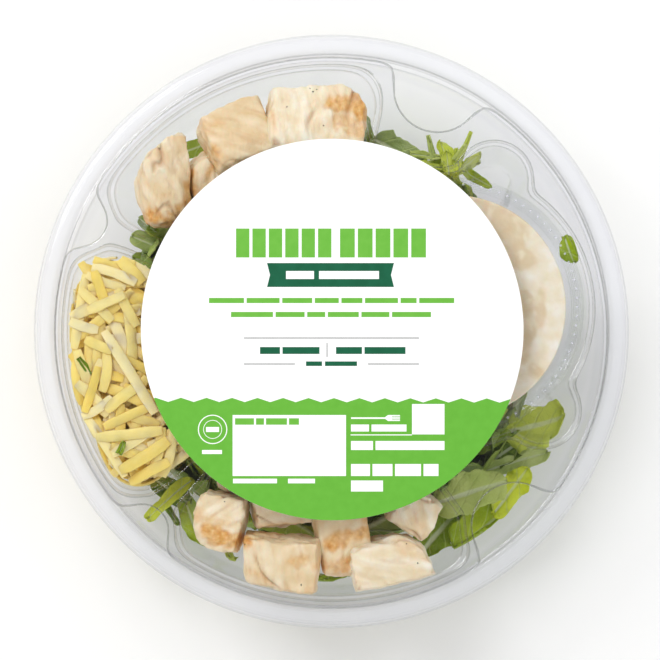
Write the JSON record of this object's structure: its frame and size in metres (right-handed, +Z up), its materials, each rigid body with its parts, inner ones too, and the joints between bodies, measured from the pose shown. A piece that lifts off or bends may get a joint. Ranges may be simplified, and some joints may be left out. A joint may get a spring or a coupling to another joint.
{
  "type": "chicken caesar salad",
  "caption": "Packed salad in a shut clear round bowl: romaine under a clear tray with wells of diced chicken, shredded cheese and a sealed cup of dressing, and a round label on the lid.",
  "frame": {"origin": "centre of the bowl's foot, on the surface it stands on", "axes": "+Z up through the lid; -Y towards the reader of the label, +X to their right"},
  "size_m": [0.178, 0.178, 0.058],
  "materials": {
    "clear_plastic": "clear thermoformed PET, glossy",
    "label_paper": "white printed label with a green lower part, satin",
    "creamy_dressing": null,
    "grilled_chicken": null,
    "shredded_cheese": null,
    "romaine": null
  },
  "bodies": {
    "root": {"bowl": "clear_plastic", "tray": "clear_plastic", "lid": "clear_plastic", "label": "label_paper", "dressing_cup": "clear_plastic", "dressing_seal": "clear_plastic", "dressing": "creamy_dressing", "cheese": "shredded_cheese", "lettuce": "romaine", "chicken_01": "grilled_chicken", "chicken_02": "grilled_chicken", "chicken_03": "grilled_chicken", "chicken_04": "grilled_chicken", "chicken_05": "grilled_chicken", "chicken_06": "grilled_chicken", "chicken_07": "grilled_chicken", "chicken_08": "grilled_chicken", "chicken_09": "grilled_chicken", "chicken_10": "grilled_chicken", "chicken_11": "grilled_chicken", "chicken_12": "grilled_chicken", "chicken_13": "grilled_chicken", "chicken_14": "grilled_chicken", "chicken_15": "grilled_chicken"}
  },
  "joints": []
}
